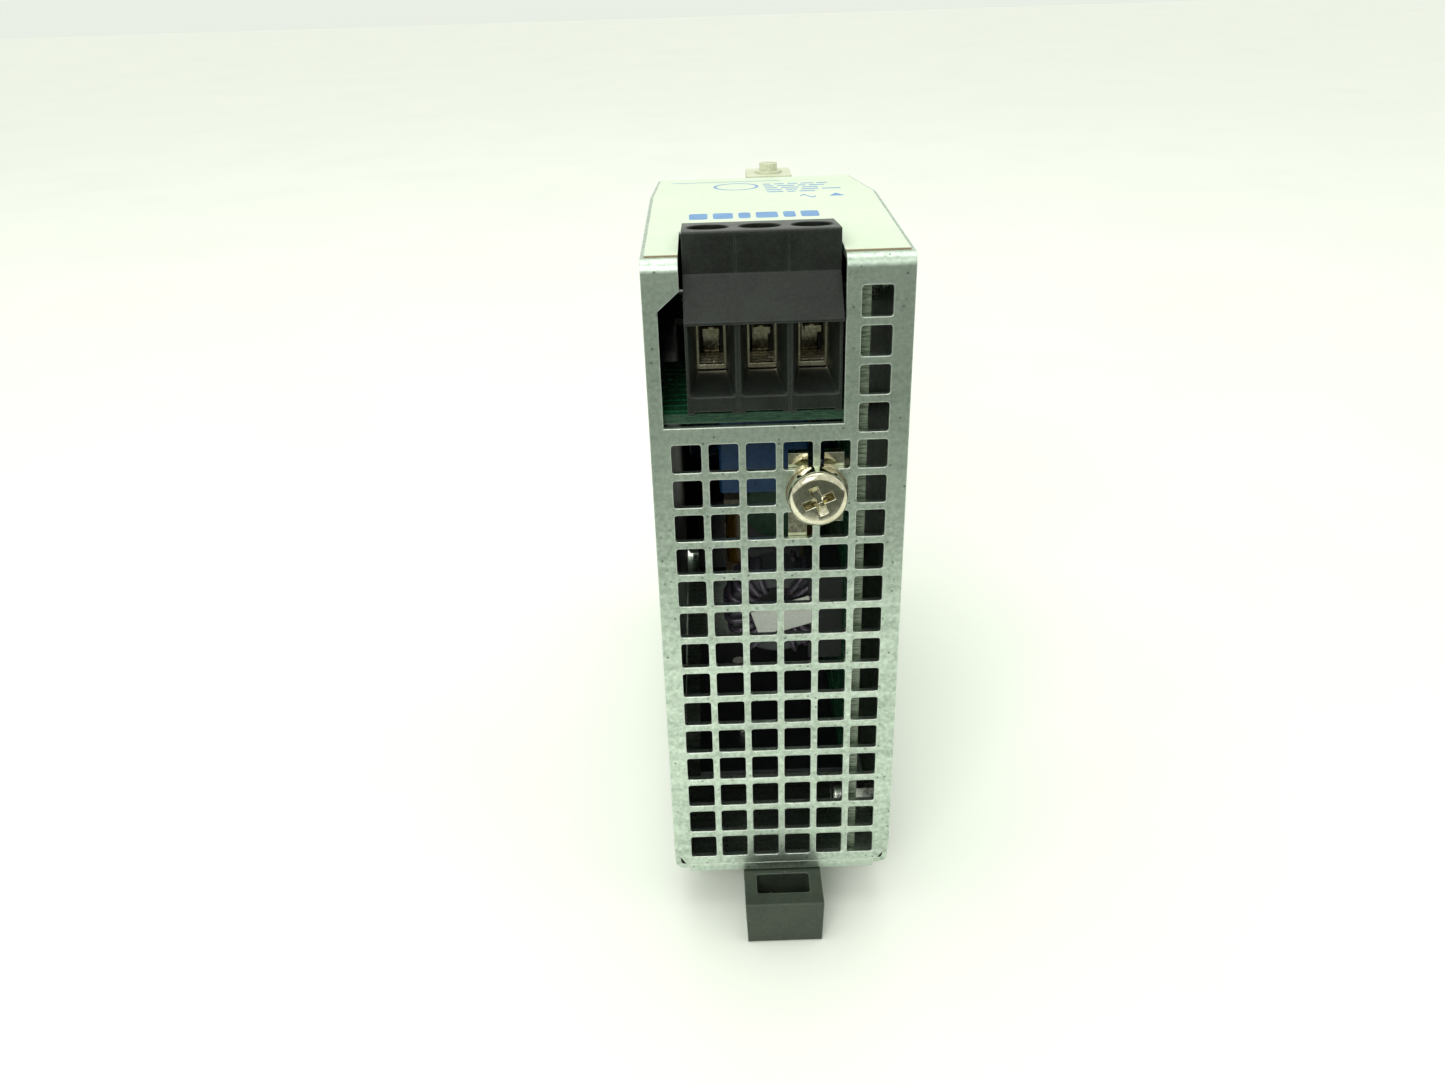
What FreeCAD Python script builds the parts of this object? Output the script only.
"""DIN rail power supply, 24 V / 5 A class, in a folded sheet steel case.

Millimetres. The origin is the centre of the seat that lies on the face of the DIN rail.
+Z points out of the front panel, -Y is the input end and +Y the output end, +X is the side
that the main board is mounted on. The case is drawn lying on its back, on the rail clip.
Each sub-part is written to parts/NODE.step.
"""
import FreeCAD
import Part
import math
import os

V = FreeCAD.Vector
os.makedirs("parts", exist_ok=True)

# ---------------------------------------------------------------- case sizes
CASE_W = 40.0            # width along the rail, X
CASE_L = 125.2           # height of the unit when it hangs on its rail, Y
CASE_D = 115.8           # back of the chassis to the front panel, Z
CLIP_H = 5.4             # rail seat to the back of the chassis
SHEET = 1.0              # galvanised sheet of cover and chassis
BEND_R = 0.8             # inside radius of a bend
JOIN_GAP = 0.1           # between two sheets that lie against each other
END_PLATE_LIFT = 1.9     # the end plates stop this far above the back of the chassis
CORNER_CLIP_X = 2.2      # clipped lower corners of the end plates
CORNER_CLIP_Z = 3.4

# front panel, seen from the side: flat, a slight fall, a steep fall and a low ledge
FLAT_L = 0.3562 * CASE_L     # flat part, from the input end
SLIGHT_L = 0.3355 * CASE_L
SLIGHT_DROP = 4.8
STEEP_L = 0.1278 * CASE_L
STEEP_DROP = 9.5

# ventilation holes
HOLE_W = 4.7
HOLE_H = 4.8
HOLE_R = 0.5
HOLE_PITCH_X = 5.8
HOLE_PITCH_Z = 6.05
HOLE_COLS = 6
HOLE_ROWS = 18
HOLE_MARGIN = 1.5        # solid strip under the lowest row
HOLE_TOP = 6.85          # first row's centre, below the front panel
OPEN_ROWS = 4            # rows beside a terminal block have only their outer hole
EARTH_ROW = 5            # this row leaves a solid pad for the earth screw
EARTH_COLS = (3, 4)

# terminal blocks, measured from the end plate inwards and from the panel downwards
POLES = 3
POLE_PITCH = 7.85
TERM_OFFSET = -2.2       # middle pole from the case's middle, at the input end
TERM_RISE = 3.0          # top of the block above the panel
TERM_TOP_FALL = 1.4
TERM_FRONT = 4.2         # upper front wall from the end plate's face
TERM_DEPTH = 16.7
TERM_FOOT = 0.5          # lower front face from the end plate's face
TERM_H = 24.0            # panel to the board that the block stands on
HOOD_TOP = 3.3
HOOD_TIP = 9.0
HOOD_LIP = 0.5
HOOD_REACH = 1.1         # the hood stands out of the end plate's face by this
ENTRY_W = 6.7            # wire entry at its mouth
ENTRY_THROAT_W = 4.6
ENTRY_TOP = 9.7
ENTRY_SILL = 21.0
THROAT_TOP = 10.5
THROAT_SILL = 19.1
THROAT_AT = 6.0
OPENING_NECK = POLES * POLE_PITCH / 2 - TERM_OFFSET + 0.525    # left edge of the case opening
OPENING_SIDE = OPENING_NECK + 0.733 * (CASE_W / 2 - SHEET - OPENING_NECK)      # its lower left edge
OPENING_NECK_H = 4.6
OPENING_SLOPE_H = 2.9
OPENING_H = 25.9
TERM_GAP = 0.35          # between block and sheet

# clamp inside each pole
SCREW_AT = 10.1          # screw axis from the end plate's face
ACCESS_D = 6.3
HEAD_D = 5.8
HEAD_H = 2.6
HEAD_TOP = 0.7           # top of the screw head below the panel
WEB_H = 1.6
CLAMP_SCREW_D = 3.5
CLAMP_PITCH = 0.7
RUN_FIT = 0.05           # radial clearance of a screw in its thread
CAGE_W = 5.4
CAGE_L = 5.8
CAGE_H = 10.6
CAGE_WALL = 0.8
CAGE_TOP = 8.4           # top of the open cage below the panel
CAGE_FIT = 0.25
BAR_W = 2.6
BAR_T = 1.0
BAR_TOP = 12.4
BAR_GAP = 0.1
PIN_L = 3.2              # solder pin below the block

# earth screw in the end plate
EARTH_D = 4.0
EARTH_HEAD_D = 9.4
EARTH_HEAD_H = 2.9
EARTH_LEN = 9.0
EARTH_PITCH = 0.7
EARTH_WASHER_W = 10.0
EARTH_WASHER_T = 1.0
EARTH_PLATE_W = 8.8
EARTH_PLATE_H = 12.0
EARTH_PLATE_T = 1.6

# boards
BOARD_T = 1.6
BOARD_BACK_ROOM = 5.2    # between the main board and the side wall, the standoffs' length
BOARD_EDGE = 2.2         # main board's edge from the case's inside
TERM_BOARD_L = 25.0
BOARD_SETBACK = 0.7      # terminal board behind the block's foot
FOIL_T = 0.4             # insulating sheet on the left wall
FOIL_FOLD = 7.0          # its fold across the output end

# rail clip
RAIL_W = 35.0
RAIL_FIT = 0.3
GROOVE = 1.4             # room for the rail's flange under a hook
HOOK_REACH = 2.5
HOOK_T = 2.6
HOOK_BLOCK = 6.5
CLIP_W = 34.0
CLIP_FRONT = -42.0
SEAT_PLATE = 2.0
LATCH_W = 14.4
LATCH_T = 2.9
LATCH_TAB_OUT = 8.9      # latch tab in front of the end plate
LATCH_TAB_IN = 1.6       # the tab goes under the case by this
LATCH_SLOT_W = 9.8
LATCH_SLOT_L = 5.0
LATCH_FIT = 0.2
LATCH_WINDOW_W = 6.0
SPRING_D = 3.2
SPRING_WIRE = 0.45
SPRING_COILS = 9
SPRING_STOP_Y = -48.0
SPRING_SEAT_Y = -31.0

# fixings
M3_D = 3.0
M3_PLAY = 0.15           # radial clearance around an M3 screw
M3_HEAD_D = 5.6
M3_HEAD_H = 1.6
COVER_SCREW_L = 2 * SHEET + JOIN_GAP + 1.4
COVER_SCREW_DROP = 7.0   # cover screws below the front panel
COVER_SCREW_Y = (-0.304 * CASE_L, 0.08 * CASE_L, 0.4 * CASE_L)
TAB_L = 12.0
TAB_H = 11.0
STANDOFF_AF = 5.0
STANDOFF_STUD_D = 3.0
BRACKET_SCREW_X = 12.6
BRACKET_SCREW_YS = (-10.0, 12.0)

# adjuster and status light
TRIMMER_W = 9.5
TRIMMER_X = 3.4
TRIMMER_GAP = 0.4
LED_D = 3.0
LED_X = -8.0
LED_GAP = 0.15

# ---------------------------------------------------------------- derived places
HALF_W = CASE_W / 2
HALF_L = CASE_L / 2
BACK_Z = CLIP_H
FRONT_Z = BACK_Z + CASE_D
END_LOW_Z = BACK_Z + END_PLATE_LIFT
BEND_Y1 = -HALF_L + FLAT_L
BEND_Y2 = BEND_Y1 + SLIGHT_L
BEND_Y3 = BEND_Y2 + STEEP_L
LEDGE_DROP = SLIGHT_DROP + STEEP_DROP
LEDGE_Z = FRONT_Z - LEDGE_DROP
INNER_X = HALF_W - SHEET
INNER_END = HALF_L - SHEET
BOARD_FACE_X = INNER_X - BOARD_BACK_ROOM - BOARD_T
FOIL_X = -INNER_X + JOIN_GAP + FOIL_T      # inside face of the insulating sheet
FLOOR_Z = BACK_Z + SHEET
HOOK_Z = -GROOVE - HOOK_T
EARTH_X = (sum(EARTH_COLS) / len(EARTH_COLS) - (HOLE_COLS - 1) / 2) * HOLE_PITCH_X
EARTH_Z = FRONT_Z - HOLE_TOP - EARTH_ROW * HOLE_PITCH_Z
TRIMMER_Y = BEND_Y2 + 6.1
LED_Y = BEND_Y2 + 9.0
BRACKET_SCREWS = [(side * BRACKET_SCREW_X, y) for side in (-1, 1) for y in BRACKET_SCREW_YS]
STANDOFF_PLACES = [
    (-HALF_L + 10.6, FLOOR_Z + 7.6), (HALF_L - 10.6, FLOOR_Z + 7.6),
    (-HALF_L + 32.6, FRONT_Z - 13.2), (COVER_SCREW_Y[-1] - TAB_L / 2 - 2.1, LEDGE_Z - 11.6),
    (0.16 * CASE_L, FLOOR_Z + 61.6),
]
COVER_PATH = [
    (-HALF_L, END_LOW_Z), (-HALF_L, FRONT_Z), (BEND_Y1, FRONT_Z),
    (BEND_Y2, FRONT_Z - SLIGHT_DROP), (BEND_Y3, LEDGE_Z), (HALF_L, LEDGE_Z), (HALF_L, END_LOW_Z),
]


# ---------------------------------------------------------------- helpers
def save(name, shape):
    """Write one sub-part, whose shape is one solid or a group of separate solids."""
    solids = shape.Solids
    result = solids[0] if len(solids) == 1 else Part.makeCompound(solids)
    result.exportStep("parts/%s.step" % name)
    print("%-24s %d solid(s)" % (name, len(solids)))


def box(x0, x1, y0, y1, z0, z1):
    return Part.makeBox(x1 - x0, y1 - y0, z1 - z0, V(x0, y0, z0))


def rod(x, y, z, radius, length, axis=V(0, 0, 1)):
    """Cylinder whose first end is centred on (x, y, z)."""
    return Part.makeCylinder(radius, length, V(x, y, z), axis)


def cone(x, y, z, r0, r1, length, axis=V(0, 0, 1)):
    return Part.makeCone(r0, r1, length, V(x, y, z), axis)


def prism_x(points, x0, x1):
    """Closed outline of (y, z) points, drawn out from x0 to x1."""
    wire = Part.makePolygon([V(x0, y, z) for y, z in points + points[:1]])
    return Part.Face(wire).extrude(V(x1 - x0, 0, 0))


def prism_y(points, y0, y1):
    """Closed outline of (x, z) points, drawn out from y0 to y1."""
    wire = Part.makePolygon([V(x, y0, z) for x, z in points + points[:1]])
    return Part.Face(wire).extrude(V(0, y1 - y0, 0))


def fuse(shapes):
    return shapes[0].multiFuse(shapes[1:]).removeSplitter()


def edges_along(shape, axis, test=lambda middle: True):
    """Straight edges parallel to an axis whose middle point passes a test."""
    chosen = []
    for edge in shape.Edges:
        if edge.Curve.TypeId != "Part::GeomLine" or len(edge.Vertexes) != 2:
            continue
        start, end = [v.Point for v in edge.Vertexes]
        along = (end - start).normalize()
        if abs(along.dot(axis)) > 0.999 and test((start + end) * 0.5):
            chosen.append(edge)
    return chosen


def rounded_box(x0, x1, y0, y1, z0, z1, radius, axis=V(0, 0, 1)):
    """Box whose four edges along an axis are rounded."""
    shape = box(x0, x1, y0, y1, z0, z1)
    return shape.makeFillet(radius, edges_along(shape, axis))


def offset_path(path, distance):
    """Parallel path of (y, z) points, to the right of the way that the path runs."""
    normals = []
    for (y0, z0), (y1, z1) in zip(path, path[1:]):
        length = math.hypot(y1 - y0, z1 - z0)
        normals.append(((z1 - z0) / length, -(y1 - y0) / length))
    result = [(path[0][0] + normals[0][0] * distance, path[0][1] + normals[0][1] * distance)]
    for point, before, after in zip(path[1:-1], normals, normals[1:]):
        scale = distance / (1 + before[0] * after[0] + before[1] * after[1])
        result.append((point[0] + (before[0] + after[0]) * scale, point[1] + (before[1] + after[1]) * scale))
    last = path[-1]
    result.append((last[0] + normals[-1][0] * distance, last[1] + normals[-1][1] * distance))
    return result


def rounded_edges(path, radius, x):
    """Lines and tangent arcs along a path of (y, z) points."""
    points = [V(x, y, z) for y, z in path]
    edges = []
    start = points[0]
    for before, corner, after in zip(points, points[1:], points[2:]):
        into = (corner - before).normalize()
        out = (after - corner).normalize()
        half_turn = into.getAngle(out) / 2
        reach = radius * math.tan(half_turn)
        first = corner - into * reach
        last = corner + out * reach
        inward = (out - into).normalize()
        middle = corner + inward * (radius / math.cos(half_turn) - radius)
        edges.append(Part.LineSegment(start, first).toShape())
        edges.append(Part.Arc(first, middle, last).toShape())
        start = last
    edges.append(Part.LineSegment(start, points[-1]).toShape())
    return edges


def folded_sheet(path, thickness, inside_radius, x0, x1):
    """Sheet folded along a path of (y, z) points on its outside; the metal lies to the right."""
    outer = rounded_edges(path, inside_radius + thickness, x0)
    inner_path = offset_path(path, thickness)
    inner = rounded_edges(inner_path, inside_radius, x0)
    caps = []
    for outer_end, inner_end in ((path[0], inner_path[0]), (path[-1], inner_path[-1])):
        caps.append(Part.LineSegment(V(x0, *outer_end), V(x0, *inner_end)).toShape())
    wire = Part.Wire(Part.__sortEdges__(outer + inner + caps))
    return Part.Face(wire).extrude(V(x1 - x0, 0, 0))


def at_output_end(shape):
    """The same piece at the output end: mirrored end for end, and lowered to the ledge."""
    copy = shape.mirror(V(0, 0, 0), V(0, 1, 0))
    copy.translate(V(0, 0, -LEDGE_DROP))
    return copy


def screw_slot(x, y, top_z, width, length, depth):
    return box(x - length / 2, x + length / 2, y - width / 2, y + width / 2, top_z - depth, top_z + 1)


def cross_recess(size, width, depth):
    """Cutter for a cross recess, opening towards +Z at the origin."""
    arms = []
    for turn in (0, 90):
        arm = Part.makeBox(size, width, depth + 1, V(-size / 2, -width / 2, -depth))
        arm.rotate(V(0, 0, 0), V(0, 0, 1), turn)
        arms.append(arm)
    return arms[0].fuse(arms[1])


def thread_grooves(radius, z0, length, pitch, depth):
    """Rings that leave a plain stack of thread crests on a screw standing along Z."""
    rings = []
    for index in range(int(length / pitch)):
        z = z0 + (index + 0.5) * pitch
        outer = Part.makeCylinder(radius + 1, pitch * 0.4, V(0, 0, z))
        rings.append(outer.cut(Part.makeCylinder(radius - depth, pitch * 0.4, V(0, 0, z))))
    return rings


def panel_z(y):
    """Height of the front panel's outside at y."""
    for (y0, z0), (y1, z1) in zip(COVER_PATH[1:], COVER_PATH[2:-1]):
        if y <= y1:
            return z0 + (z1 - z0) * (y - y0) / (y1 - y0)
    return LEDGE_Z


# ---------------------------------------------------------------- case
def hole_centres(drop):
    """Grille holes of one end plate as (x, z) before it is lowered by drop."""
    centres = []
    for row in range(HOLE_ROWS):
        z = FRONT_Z - HOLE_TOP - row * HOLE_PITCH_Z
        for col in range(HOLE_COLS):
            beside_terminals = row < OPEN_ROWS and col < HOLE_COLS - 1
            earth_pad = row == EARTH_ROW and col in EARTH_COLS
            below_plate = z - drop - HOLE_H / 2 < END_LOW_Z + HOLE_MARGIN
            if not (beside_terminals or earth_pad or below_plate):
                centres.append(((col - (HOLE_COLS - 1) / 2) * HOLE_PITCH_X, z))
    return centres


def end_cutters(drop):
    """Grille and terminal opening of an end plate whose panel lies lower by drop."""
    top_z = FRONT_Z
    cutters = []
    for x, z in hole_centres(drop):
        cutters.append(rounded_box(x - HOLE_W / 2, x + HOLE_W / 2, -HALF_L - 1, -HALF_L + SHEET + 1,
                                   z - HOLE_H / 2, z + HOLE_H / 2, HOLE_R, V(0, 1, 0)))
    right = TERM_OFFSET + POLES * POLE_PITCH / 2 + TERM_GAP
    outline = [
        (-OPENING_NECK, top_z + 1), (-OPENING_NECK, top_z - OPENING_NECK_H),
        (-OPENING_SIDE, top_z - OPENING_NECK_H - OPENING_SLOPE_H),
        (-OPENING_SIDE, top_z - OPENING_H), (right, top_z - OPENING_H), (right, top_z + 1),
    ]
    cutters.append(prism_y(outline, -HALF_L - 1, -HALF_L + SHEET + 1))
    cutters.append(box(-OPENING_NECK, right, -HALF_L - 1, -HALF_L + TERM_DEPTH + TERM_GAP,
                       top_z - SHEET - BEND_R - 1, top_z + 1))
    return cutters


def make_front_cover():
    sheet = folded_sheet(COVER_PATH, SHEET, BEND_R, -HALF_W, HALF_W)
    cutters = end_cutters(0)
    cutters += [at_output_end(cutter) for cutter in end_cutters(LEDGE_DROP)]
    for side in (-1, 1):
        for end in (-1, 1):
            clip_x = side * (HALF_W - CORNER_CLIP_X)
            beyond = side * (HALF_W + 1)
            corner = [(beyond, END_LOW_Z - 1), (clip_x, END_LOW_Z - 1), (clip_x, END_LOW_Z),
                      (side * HALF_W, END_LOW_Z + CORNER_CLIP_Z), (beyond, END_LOW_Z + CORNER_CLIP_Z)]
            y0, y1 = sorted((end * (HALF_L + 1), end * (HALF_L - 2)))
            cutters.append(prism_y(corner, y0, y1))
    cutters.append(rod(EARTH_X, -HALF_L - 1, EARTH_Z, EARTH_D / 2 + 0.3, SHEET + 2, V(0, 1, 0)))
    half = TRIMMER_W / 2 + TRIMMER_GAP
    cutters.append(box(TRIMMER_X - half, TRIMMER_X + half, TRIMMER_Y - half, TRIMMER_Y + half,
                       LEDGE_Z - 5, FRONT_Z))
    cutters.append(rod(LED_X, LED_Y, LEDGE_Z - 5, LED_D / 2 + LED_GAP, 20))
    sheet = sheet.cut(cutters)
    tabs = []
    for side in (-1, 1):
        outer = side * (INNER_X - JOIN_GAP)
        inner = outer - side * SHEET
        for y in COVER_SCREW_Y:
            low = panel_z(y) - TAB_H
            tab = [(y - TAB_L / 2, low), (y + TAB_L / 2, low),
                   (y + TAB_L / 2, panel_z(y + TAB_L / 2) - SHEET * 0.6),
                   (y - TAB_L / 2, panel_z(y - TAB_L / 2) - SHEET * 0.6)]
            solid = prism_x(tab, min(outer, inner), max(outer, inner))
            corners = edges_along(solid, V(1, 0, 0), lambda middle: middle.z < low + 1)
            solid = solid.makeFillet(2.0, corners)
            hole = rod(outer + side, y, panel_z(y) - COVER_SCREW_DROP, M3_D / 2, 4, V(-side, 0, 0))
            tabs.append(solid.cut(hole))
    return fuse([sheet] + tabs)


def make_chassis():
    """Back and two sides, folded from one sheet, with a hemmed lip under each end plate."""
    gap = JOIN_GAP
    under = SHEET + gap
    end = INNER_END - gap
    bends = offset_path(COVER_PATH[1:-1], under)[1:-1]
    side_path = [(-end, FRONT_Z - under - BEND_R), (-end + BEND_R, FRONT_Z - under)] + bends
    side_path += [(end - BEND_R, LEDGE_Z - under), (end, LEDGE_Z - under - BEND_R)]
    profile = [(-HALF_W, FRONT_Z), (-HALF_W, BACK_Z), (HALF_W, BACK_Z), (HALF_W, FRONT_Z)]
    inner = [(-INNER_X, FRONT_Z), (-INNER_X, FLOOR_Z), (INNER_X, FLOOR_Z), (INNER_X, FRONT_Z)]
    channel = prism_y(profile[:3] + [profile[3], inner[3], inner[2], inner[1], inner[0]],
                      -INNER_END + gap, INNER_END - gap)
    outside = edges_along(channel, V(0, 1, 0), lambda m: m.z < BACK_Z + 0.01)
    channel = channel.makeFillet(BEND_R + SHEET, outside)
    inside = edges_along(channel, V(0, 1, 0), lambda m: abs(m.z - FLOOR_Z) < 0.01
                         and abs(abs(m.x) - INNER_X) < 0.01)
    channel = channel.makeFillet(BEND_R, inside)
    keep = prism_x(side_path + [(INNER_END - gap, BACK_Z - 1), (-INNER_END + gap, BACK_Z - 1)],
                   -HALF_W - 1, HALF_W + 1)
    channel = channel.common(keep)
    hem_half = HALF_W - CORNER_CLIP_X - 0.6
    hem_top = END_LOW_Z - 0.2
    parts = [channel]
    for end in (-1, 1):
        y_out = end * (HALF_L - 0.2)
        y_in = end * (INNER_END - 2)
        parts.append(box(-hem_half, hem_half, min(y_out, y_in), max(y_out, y_in), BACK_Z, hem_top))
    stop = box(-LATCH_WINDOW_W / 2 + 0.4, LATCH_WINDOW_W / 2 - 0.4, SPRING_STOP_Y - SHEET, SPRING_STOP_Y,
               SEAT_PLATE + LATCH_FIT, BACK_Z + 0.5)
    parts.append(stop)
    body = fuse(parts)
    cutters = []
    for side in (-1, 1):
        for y in COVER_SCREW_Y:
            z = panel_z(y) - COVER_SCREW_DROP
            cutters.append(rod(side * (HALF_W + 1), y, z, M3_D / 2 + 0.2, 4, V(-side, 0, 0)))
            cutters.append(cone(side * (HALF_W + 0.01), y, z, M3_HEAD_D / 2 + 0.05, M3_D / 2 + 0.2,
                                SHEET, V(-side, 0, 0)))
    for x, y in BRACKET_SCREWS:
        cutters.append(rod(x, y, BACK_Z - 1, M3_D / 2, SHEET + 2))
    for y, z in STANDOFF_PLACES:
        cutters.append(rod(INNER_X - 1, y, z, STANDOFF_STUD_D / 2, 3, V(1, 0, 0)))
    return body.cut(cutters)


def make_front_label():
    """Printed sheet glued over the front panel, cut out around the input terminals."""
    thickness = 0.2
    edge = 0.6
    start = BEND_R + SHEET + 0.3
    path = [(-HALF_L + start, FRONT_Z), (BEND_Y1, FRONT_Z), (BEND_Y2 - 1.2, panel_z(BEND_Y2 - 1.2))]
    raised = [(y, z) for y, z in offset_path(path, -thickness)]
    right = TERM_OFFSET + POLES * POLE_PITCH / 2 + TERM_GAP
    sheet = folded_sheet(raised, thickness, BEND_R + SHEET, -HALF_W + edge, HALF_W - edge)
    notch = box(-OPENING_NECK, right, -HALF_L - 1, -HALF_L + TERM_DEPTH + TERM_GAP, FRONT_Z - 1, FRONT_Z + 1)
    return sheet.cut(notch)


def make_cover_screws():
    screws = []
    for side in (-1, 1):
        for y in COVER_SCREW_Y:
            head = cone(0, 0, 0, M3_HEAD_D / 2, M3_D / 2, SHEET, V(0, 0, -1))
            shank = rod(0, 0, 0, M3_D / 2 - RUN_FIT, COVER_SCREW_L, V(0, 0, -1))
            screw = head.fuse(shank).cut(cross_recess(2.6, 0.7, 1.2))
            screw.rotate(V(0, 0, 0), V(0, 1, 0), 90 * side)
            screw.translate(V(side * HALF_W, y, panel_z(y) - COVER_SCREW_DROP))
            screws.append(screw)
    return Part.makeCompound(screws)


# ---------------------------------------------------------------- rail clip
LATCH_TOP_Z = SEAT_PLATE + LATCH_FIT + LATCH_T
CHANNEL_W = LATCH_W + 2 * LATCH_FIT
FIXED_HOOK_Y = RAIL_W / 2 + RAIL_FIT
LATCH_HOOK_Y = -RAIL_W / 2 - RAIL_FIT
CHANNEL_END_Y = 6.0
HOOK_ROOM = 1.7          # bracket's edge behind the latch hook
HOOK_CHAMFER = 0.8
SEAT_PROUD = 0.2         # the seat stands out of the clip's underside by this
SEAT_INSET = 0.2         # seat's edge short of the hook's tip
BRACKET_CORNER_R = 1.5
POCKET_YS = (-34.0, -26.0)
POCKET_W, POCKET_L = 5.2, 5.0
POCKET_FLOOR = 1.6


def make_rail_bracket():
    """Clip body with the rail seat and the fixed hook; its channel holds the latch."""
    back = FIXED_HOOK_Y + HOOK_BLOCK
    tip = FIXED_HOOK_Y - HOOK_REACH
    half = CLIP_W / 2
    body = box(-half, half, CLIP_FRONT, back, SEAT_PROUD, BACK_Z)
    hook = prism_x([(FIXED_HOOK_Y, SEAT_PLATE), (back, SEAT_PLATE), (back, HOOK_Z + HOOK_CHAMFER),
                    (back - HOOK_CHAMFER, HOOK_Z), (tip + HOOK_CHAMFER, HOOK_Z),
                    (tip, HOOK_Z + HOOK_CHAMFER), (tip, -GROOVE), (FIXED_HOOK_Y, -GROOVE)], -half, half)
    body = fuse([body, hook])
    corners = edges_along(body, V(0, 0, 1), lambda m: abs(abs(m.x) - half) < 0.1)
    body = body.makeFillet(BRACKET_CORNER_R, corners)
    seat_x = half - SEAT_INSET
    seat_y = tip - SEAT_INSET
    body = fuse([body, box(-seat_x, seat_x, -seat_y, seat_y, 0, SEAT_PLATE)])
    hook_gap_y = LATCH_HOOK_Y + HOOK_ROOM
    cutters = [
        box(-CHANNEL_W / 2, CHANNEL_W / 2, CLIP_FRONT - 1, CHANNEL_END_Y, SEAT_PLATE, BACK_Z + 1),
        box(-CHANNEL_W / 2, CHANNEL_W / 2, CLIP_FRONT - 1, hook_gap_y, -1, BACK_Z + 1),
    ]
    for x, y in BRACKET_SCREWS:
        cutters.append(rod(x, y, -1, M3_D / 2 + M3_PLAY, BACK_Z + 2))
        cutters.append(cone(x, y, -0.01, M3_HEAD_D / 2 + M3_PLAY, M3_D / 2 + M3_PLAY, M3_HEAD_H))
    for x in (-BRACKET_SCREW_X, BRACKET_SCREW_X):
        for y in POCKET_YS:
            cutters.append(box(x - POCKET_W / 2, x + POCKET_W / 2, y - POCKET_L / 2, y + POCKET_L / 2,
                               POCKET_FLOOR, BACK_Z + 1))
    return body.cut(cutters)


def make_bracket_screws():
    screws = []
    for x, y in BRACKET_SCREWS:
        head = cone(0, 0, 0, M3_HEAD_D / 2, M3_D / 2, M3_HEAD_H - 0.1)
        shank = rod(0, 0, 0, M3_D / 2 - RUN_FIT, CLIP_H + SHEET + 1.4)
        recess = cross_recess(2.8, 0.7, 1.3)
        recess.rotate(V(0, 0, 0), V(1, 0, 0), 180)
        screw = head.fuse(shank).cut(recess)
        screw.translate(V(x, y, 0.05))
        screws.append(screw)
    return Part.makeCompound(screws)


def make_latch_slider():
    """Sliding latch: a hollow pull tab, a flat strip with a spring window, and the moving hook."""
    half = LATCH_W / 2
    tab_front = -HALF_L - LATCH_TAB_OUT
    tab_back = -HALF_L + LATCH_TAB_IN
    low_half = half - 0.35
    tab = prism_y([(-half, LATCH_TOP_Z), (half, LATCH_TOP_Z), (low_half, HOOK_Z), (-low_half, HOOK_Z)],
                  tab_front, tab_back)
    tab = tab.makeFillet(0.4, edges_along(tab, V(1, 0, 0)))
    slot = rounded_box(-LATCH_SLOT_W / 2, LATCH_SLOT_W / 2, -HALF_L - LATCH_SLOT_L - 0.9, -HALF_L - 0.9,
                       HOOK_Z + 1.6, LATCH_TOP_Z + 1, 0.6)
    tab = tab.cut(slot)
    strip = box(-half, half, tab_back - 1, LATCH_HOOK_Y, SEAT_PLATE + LATCH_FIT, LATCH_TOP_Z)
    window = box(-LATCH_WINDOW_W / 2, LATCH_WINDOW_W / 2, SPRING_STOP_Y - SHEET - 0.3,
                 SPRING_SEAT_Y, SEAT_PLATE - 1, LATCH_TOP_Z + 1)
    hook_tip = LATCH_HOOK_Y + HOOK_REACH
    hook_front = LATCH_HOOK_Y - HOOK_BLOCK
    hook = prism_x([(hook_front, LATCH_TOP_Z), (LATCH_HOOK_Y, LATCH_TOP_Z), (LATCH_HOOK_Y, -GROOVE),
                    (hook_tip, -GROOVE), (hook_tip, HOOK_Z + 1.6), (hook_tip - 1.8, HOOK_Z),
                    (hook_front, HOOK_Z)], -half, half)
    return fuse([tab, strip, hook]).cut(window)


def make_latch_spring():
    """Compression spring between the chassis stop and the end of the latch's window."""
    gap = 0.05
    length = SPRING_SEAT_Y - SPRING_STOP_Y - 2 * gap - SPRING_WIRE
    radius = (SPRING_D - SPRING_WIRE) / 2
    helix = Part.makeHelix(length / SPRING_COILS, length, radius)
    section = Part.Wire(Part.Circle(V(radius, 0, 0), V(0, 1, 0), SPRING_WIRE / 2).toShape())
    coil = Part.Wire(helix.Edges).makePipeShell([section], True, True)
    coil.rotate(V(0, 0, 0), V(1, 0, 0), -90)
    coil.translate(V(0, SPRING_STOP_Y + gap + SPRING_WIRE / 2, (SEAT_PLATE + BACK_Z) / 2))
    return coil


# ---------------------------------------------------------------- terminals
def pole_xs():
    return [TERM_OFFSET + (index - (POLES - 1) / 2) * POLE_PITCH for index in range(POLES)]


def from_end(distance):
    """Y of a place measured inwards from the input end plate's face."""
    return -HALF_L + distance


def below(distance):
    """Z of a place measured down from the front panel."""
    return FRONT_Z - distance


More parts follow.
